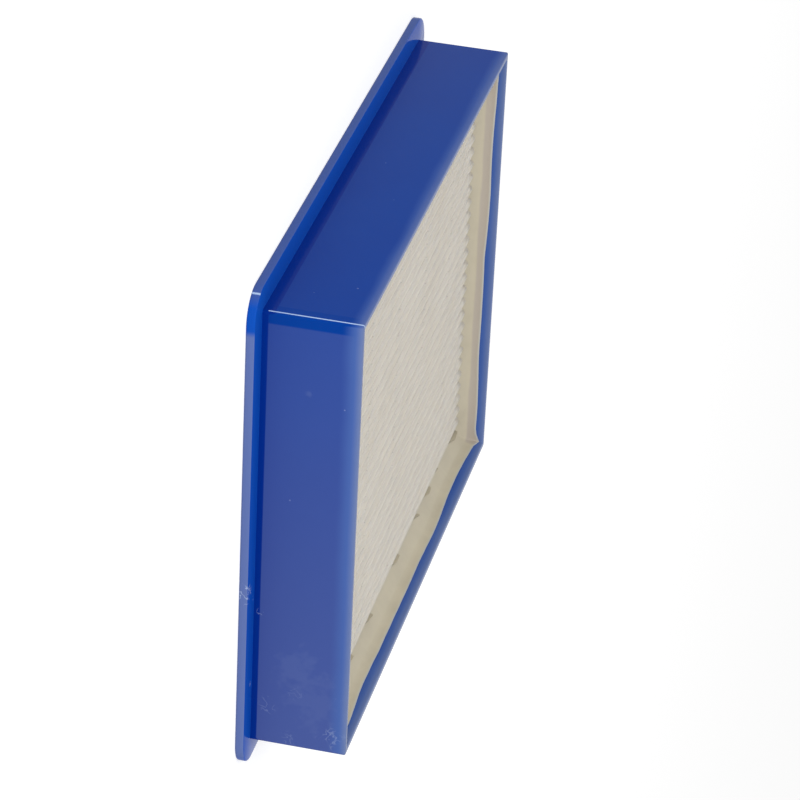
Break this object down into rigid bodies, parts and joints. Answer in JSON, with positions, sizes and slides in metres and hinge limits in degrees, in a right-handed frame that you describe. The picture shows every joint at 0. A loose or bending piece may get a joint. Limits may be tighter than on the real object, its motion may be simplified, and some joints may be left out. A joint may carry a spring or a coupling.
{
  "type": "framed pleated air filter",
  "caption": "Rectangular pleated air filter set in a moulded frame with an outer clamping flange.",
  "frame": {"origin": "centre of the base, on the plane of the flange's back face", "axes": "+X along the long side, +Y along the short side and across the pleats, +Z from the flange to the rim"},
  "size_m": [0.153, 0.121, 0.024],
  "materials": {
    "frame_plastic": "gloss",
    "filter_paper": "soft matt",
    "sealant": "satin",
    "hot_melt": "satin"
  },
  "bodies": {
    "root": {"frame": "frame_plastic", "media_pack": "filter_paper", "edge_sealant": "sealant", "front_separator_1": "hot_melt", "front_separator_2": "hot_melt", "front_separator_3": "hot_melt", "front_separator_4": "hot_melt", "back_separator_1": "hot_melt", "back_separator_2": "hot_melt", "back_separator_3": "hot_melt", "back_separator_4": "hot_melt"}
  },
  "joints": []
}
